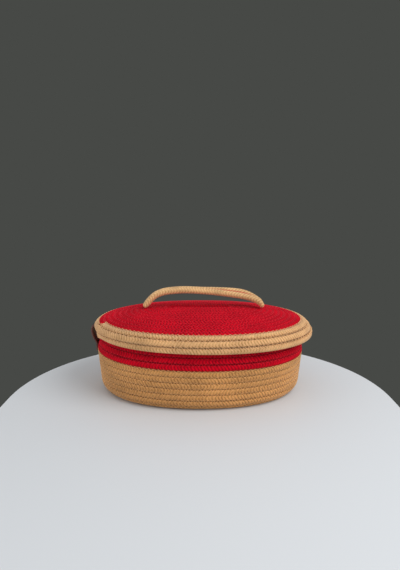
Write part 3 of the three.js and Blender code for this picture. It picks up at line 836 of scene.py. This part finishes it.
def handle_strand(name, side):
    """One strand of the handle; both are pressed flat at the feet, and narrow at the right one."""
    middle, rearward, upward, travelled = handle_route(LOBES_PER_HANDLE * STEPS_PER_LOBE)
    to_end = travelled[-1] - travelled
    left_growth = smoothstep(travelled, 0, LEFT_FOOT_TAPER)
    right_growth = smoothstep(to_end, 0, RIGHT_FOOT_TAPER)
    flat = between(LEFT_FOOT_THICKNESS, 1, left_growth)
    pointed = between(RIGHT_FOOT_THICKNESS, 1, right_growth)
    tip = rounded_end(travelled, FOOT_TIP_RADIUS) * rounded_end(to_end, FOOT_TIP_RADIUS)
    spacing = STRAND_SPACING * between(RIGHT_FOOT_SPACING, 1, right_growth)
    sink = STRAND_RADIUS * (1 - flat * pointed) * FOOT_SINK
    centres = middle + rearward * (side * spacing / 2)[:, None] - upward * sink[:, None]
    high = STRAND_RADIUS * flat * pointed * tip
    wide = STRAND_RADIUS * (1 + FOOT_SPREAD * (1 - flat)) * pointed * tip
    rings = rope_rings(centres, upward, rearward, high, wide)
    piece = braided(name, rings, travelled, SMOOTH, HANDLE_LOBE_DEPTH, 0.0)
    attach(piece, "lid")
    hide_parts(name)


def handle_seam():
    """Red thread that holds the two strands together, in short slanted stitches over their groove."""
    points_per_stitch = len(GROOVE_STITCH_SIDES)
    count = points_per_stitch * GROOVE_STITCH_COUNT + 1
    middle, rearward, upward, travelled = handle_route(count)
    side = np.resize(GROOVE_STITCH_SIDES, count)[:, None] * GROOVE_STITCH_WIDTH
    height = np.resize(GROOVE_STITCH_HEIGHTS, count)[:, None]
    points = middle + rearward * side + upward * height
    inside = (travelled > LEFT_FOOT_TAPER) & (travelled < travelled[-1] - RIGHT_FOOT_TAPER)
    return thread_line("handle_seam", points[inside], CRIMSON_THREAD, GROOVE_THREAD_RADIUS)


def foot_stitches(name, at_left):
    """Three stitches over a foot of the handle, sewn down into the lid's rope."""
    middle, rearward, _, travelled = handle_route(600)
    angles = np.linspace(-FOOT_STITCH_DIVE, math.pi + FOOT_STITCH_DIVE, FOOT_STITCH_POINTS)
    pieces = []
    for number, from_end in enumerate(FOOT_STITCH_PLACES):
        distance = from_end if at_left else travelled[-1] - from_end
        i = int(np.argmin(np.abs(travelled - distance)))
        size = between(FOOT_STITCH_START, 1, smoothstep(from_end, 0, FOOT_STITCH_GROWTH))
        wide = (STRAND_SPACING / 2 + STRAND_RADIUS) * between(*FOOT_STITCH_WIDTHS, size)
        if not at_left:
            wide *= between(*RIGHT_STITCH_WIDTHS, size)
        high = STRAND_RADIUS * between(*FOOT_STITCH_HEIGHTS, size)
        points = [middle[i] + rearward[i] * wide * math.cos(a)
                  + np.array([0, 0, high * math.sin(a) - FOOT_STITCH_SUNK]) for a in angles]
        pieces.append(thread_line(f"{name}_{number + 1}", points, PALE_THREAD))
    return pieces


def strap_sizes():
    """Places of the strap in millimetres, from the same values as its solid."""
    left_turn = (BACK_ANGLE + 360 - LEFT_ANGLE) / 360
    rivet_height = float(base_profile.at(wall_from + ROW_PITCH * (JUTE_TURNS + left_turn - 0.5))[1])
    corner = CORNER_RADIUS * math.radians(90 - WALL_FLARE)
    upright_run = LEAN_RADIUS * math.radians(WALL_FLARE)
    widest = float(base_profile.at(FLOOR_HALF_WIDTH + corner + FLARED_WALL_HEIGHT + upright_run)[0])
    rim_turn = (LEFT_ANGLE + 360 - SEAM_ANGLE) / 360
    slot_distance = rim_from + RIM_ROW_PITCH * (rim_turn + 0.5)
    slot_offset, slot_height, _ = (float(v) for v in lid_profile.at(slot_distance))
    slot_shift = float(lid_centre(slot_offset, slot_distance, math.pi)[0])
    below_offset = float(lid_profile.at(rim_from + RIM_ROW_PITCH * (rim_turn + 1))[0])
    flat_radius = SOLID_ROPE_RADIUS * math.cos(math.pi / SOLID_ROPE_SIDES)
    seat_x = -(CORE_HALF_LENGTH + widest + SOLID_ROPE_RADIUS) - STRAP_CLEARANCE - STRAP_THICKNESS / 2
    rim_x = RIM_SHIFT - (LID_CORE_HALF_LENGTH + below_offset + SOLID_ROPE_RADIUS)
    outer_x = rim_x - STRAP_BULGE - STRAP_THICKNESS / 2
    mouth_x = slot_shift - (LID_CORE_HALF_LENGTH + slot_offset + flat_radius)
    return rivet_height, slot_height, seat_x, outer_x, mouth_x


rivet_height, slot_height, strap_seat_x, strap_outer_x, slot_mouth_x = strap_sizes()


def strap_route():
    """The strap's middle line in X and Z, from its tail up over the bulge and into the rim."""
    rise = slot_height - rivet_height
    lean = strap_outer_x - strap_seat_x
    points = [(strap_seat_x, rivet_height - STRAP_TAIL), (strap_seat_x, rivet_height),
              (strap_seat_x, rivet_height + RIVET_HEAD_RADIUS),
              *((strap_seat_x + out * lean, rivet_height + up * rise) for out, up in STRAP_BEND),
              (strap_outer_x + STRAP_SHOULDER, slot_height - STRAP_THICKNESS / 2),
              (slot_mouth_x - STRAP_THICKNESS / 2, slot_height), (slot_mouth_x, slot_height),
              (slot_mouth_x + STRAP_SUNK, slot_height)]
    return smooth_path(points, STRAP_STEPS)


def strap_section():
    """The strap's section: each point's share of the half width, and its directions through and
    across the leather. The edges are half round."""
    flat = np.linspace(-1, 1, 13)
    edge_angles = np.radians([60, 30, 0, -30, -60])
    face = [(share, 1.0, 0.0) for share in flat]
    edge = [(1.0, math.sin(a), math.cos(a)) for a in edge_angles]
    return np.array(face + edge + [(-share, -through, -across) for share, through, across in face + edge])


def leather_strap():
    """The hinge's strap, with round corners and a thin tip at its tail."""
    route, travelled = strap_route()
    tangents = unit(np.gradient(route, axis=0))
    from_corner = STRAP_CORNER_RADIUS - np.minimum(travelled, STRAP_CORNER_RADIUS)
    half_width = (STRAP_WIDTH / 2 - STRAP_CORNER_RADIUS
                  + np.sqrt(STRAP_CORNER_RADIUS ** 2 - from_corner ** 2))[:, None]
    from_tip = 1 - np.minimum(travelled / STRAP_TIP_LENGTH, 1)
    thin = between(STRAP_TIP_THICKNESS, 1, np.sqrt(1 - from_tip ** 2))
    thickness = (thin * STRAP_THICKNESS / 2)[:, None]
    share, through, across = strap_section().T
    rings = np.stack([route[:, :1] + tangents[:, 1:] * through * thickness,
                      share * (half_width - STRAP_EDGE_RADIUS) + across * STRAP_EDGE_RADIUS,
                      route[:, 1:] - tangents[:, :1] * through * thickness], axis=-1)
    piece = swept_mesh("leather_strap", rings, travelled, LEATHER, 2 * STRAP_WIDTH)
    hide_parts("hinge_strap")
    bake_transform(piece)


def rivet_and_washer():
    """The rivet's domed head outside, its stem, the washer and the flattened end inside."""
    low, high = node_box("hinge_rivet")
    washer_low, washer_high = node_box("hinge_washer")
    centre = (0.0, float(low[2] + high[2]) / 2)
    outside, inside = low[0], washer_high[0]
    head = [(max(RIVET_HEAD_RADIUS * math.cos(a), SMALLEST_RADIUS),
             outside + RIVET_HEAD_HEIGHT * (1 - math.sin(a))) for a in np.radians(np.linspace(90, 12, 9))]
    outline = [*head, *((radius, outside + depth) for radius, depth in RIVET_HEAD_EDGE),
               *((radius, inside + depth) for radius, depth in RIVET_FLATTENED_END),
               (RIVET_END_RADIUS, high[0]), (SMALLEST_RADIUS, high[0])]
    rivet = lathe_mesh("rivet", outline, centre, BRASS)
    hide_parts("hinge_rivet")
    outer = float(washer_high[2] - washer_low[2]) / 2
    start, end = float(washer_low[0]), float(washer_high[0])
    ring = [(WASHER_BORE_RADIUS, start), (outer - WASHER_EDGE, start), (outer, start + WASHER_EDGE),
            (outer, end - WASHER_EDGE), (outer - WASHER_EDGE, end), (WASHER_BORE_RADIUS, end)]
    washer = lathe_mesh("washer", ring, centre, BRASS)
    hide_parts("hinge_washer")
    for piece in (rivet, washer):
        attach(piece, "base")


def ropes():
    """The five stretches of coiled rope: two colours on the base's one rope, and the lid's two ropes."""
    last_turn = JUTE_TURNS + RED_TURNS
    runs = [
        ("floor_rope", floor_coil, -FLOOR_START_CURL, FLOOR_ROW_COUNT, NATURAL, LOBE_DEPTH, True, None,
         ["base_floor"], "jute_rope"),
        ("natural_wall_rope", wall_coil, 0, JUTE_TURNS, NATURAL, LOBE_DEPTH, False, None,
         ["base_corner_jute", "base_wall_jute"], "jute_rope"),
        ("red_wall_rope", wall_coil, JUTE_TURNS, last_turn, CRIMSON, LOBE_DEPTH, False, END_THICKNESS,
         ["base_wall_red"], "red_rope"),
        ("lid_rope", dome_coil, -LID_START_CURL, DOME_TURNS, CRIMSON, DOME_LOBE_DEPTH, True, 1,
         ["lid_top"], "red_rope"),
        ("rim_rope", rim_coil, 0, RIM_TURNS, PALE, LOBE_DEPTH, True, END_THICKNESS,
         ["lid_rim"], "jute_rim_rope"),
    ]
    for *run, nodes, slot in runs:
        piece = coiled_rope(*run)
        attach(piece, "lid" if nodes[0].startswith("lid") else "base")
        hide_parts(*nodes)


def seams():
    """The threads that join the rows, on both faces of the coils; narrower where the colour changes."""
    last_wall_turn = JUTE_TURNS + RED_TURNS - 1
    runs = [
        ("floor", floor_coil, SEAM_START, FLOOR_ROW_COUNT, NATURAL_THREAD, "base", "jute_rope"),
        ("natural_wall", wall_coil, 0, JUTE_TURNS - 1, NATURAL_THREAD, "base", "jute_rope"),
        ("wall_edge", wall_coil, JUTE_TURNS - 1, JUTE_TURNS, NATURAL_THREAD, "base", "jute_rope"),
        ("red_wall", wall_coil, JUTE_TURNS, last_wall_turn, CRIMSON_THREAD, "base", "red_rope"),
        ("lid", dome_coil, SEAM_START, DOME_TURNS - 1, CRIMSON_THREAD, "lid", "red_rope"),
        ("lid_edge", dome_coil, DOME_TURNS - 1, DOME_TURNS, PALE_THREAD, "lid", "jute_rim_rope"),
        ("rim", rim_coil, 0, RIM_TURNS - 1, PALE_THREAD, "lid", "jute_rim_rope"),
    ]
    for name, coil, first_turn, last_turn, material, body, slot in runs:
        width = EDGE_STITCH_WIDTH if name.endswith("edge") else STITCH_WIDTH
        for face, side in ((1, "upper"), (-1, "lower")):
            piece = zigzag(f"{name}_seam_{side}", coil, first_turn, last_turn, material, face, width)
            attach(piece, body)


def handle():
    """The two strands, the thread between them and the stitches over their feet."""
    handle_strand("handle_strand_front", -1)
    handle_strand("handle_strand_rear", 1)
    seam = handle_seam()
    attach(seam, "lid")
    for piece in foot_stitches("left_foot_stitch", True) + foot_stitches("right_foot_stitch", False):
        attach(piece, "lid")


def stage():
    """A pale top with a round far end to stand on, in millimetres."""
    radius, middle, near_edge = 239, -55, -700
    far_end = [(radius * math.cos(a), middle + radius * math.sin(a), 0)
               for a in np.linspace(0, math.pi, 65)]
    points = [(radius, near_edge, 0), *far_end, (-radius, near_edge, 0)]
    faces = [list(range(len(points)))]
    mesh_object("floor", points, faces, plain_material("Pale matt top", "#d5d8db", 0.55))


def room():
    """A dark grey-green backdrop that lights the object as a pale room would."""
    world = bpy.data.worlds.new("Room")
    bpy.context.scene.world = world
    world.use_nodes = True
    tree = world.node_tree
    tree.nodes.clear()
    rays = add_node(tree, "ShaderNodeLightPath").outputs
    seen = 0.0
    for ray in ("Is Camera Ray", "Is Glossy Ray", "Is Transmission Ray"):
        total = add_node(tree, "ShaderNodeMath", {0: seen, 1: rays[ray]}, operation="ADD", use_clamp=True)
        seen = total.outputs[0]
    light = add_node(tree, "ShaderNodeBackground", {"Color": linear("#eef0f2"), "Strength": 0.7})
    dark = add_node(tree, "ShaderNodeBackground", {"Color": linear("#474946"), "Strength": 1.0})
    mixed = add_node(tree, "ShaderNodeMixShader", {0: seen, 1: light.outputs[0], 2: dark.outputs[0]})
    add_node(tree, "ShaderNodeOutputWorld", {"Surface": mixed.outputs[0]})


def area_light(name, place, aim, size, power):
    """A round soft light, aimed at a point; in metres and watts."""
    lamp = bpy.data.lights.new(name, "AREA")
    lamp.shape = "DISK"
    lamp.size = size
    lamp.energy = power
    holder = bpy.data.objects.new(name, lamp)
    bpy.context.scene.collection.objects.link(holder)
    holder.location = place
    holder.rotation_euler = (Vector(aim) - Vector(place)).to_track_quat("-Z", "Y").to_euler()


def camera():
    """The photo's view: in front of the object, a little above it and tilted down. In metres."""
    distance, height, tilt = 0.665, 0.2535, 10.2
    eye = bpy.data.cameras.new("camera")
    eye.lens = 32.6
    eye.sensor_width = 36
    holder = bpy.data.objects.new("camera", eye)
    bpy.context.scene.collection.objects.link(holder)
    holder.location = (0, -distance, height)
    holder.rotation_euler = (math.radians(90 - tilt), 0, 0)
    bpy.context.scene.camera = holder


ropes()
seams()
handle()
leather_strap()
rivet_and_washer()
stage()
room()
area_light("window", place=(0.8, -0.6, 0.95), aim=(0, 0, 0.05), size=1.1, power=11.5)
area_light("left fill", place=(-0.95, -0.45, 0.14), aim=(0, 0, 0.05), size=0.7, power=2.2)
camera()
bpy.context.scene.view_settings.view_transform = "Standard"
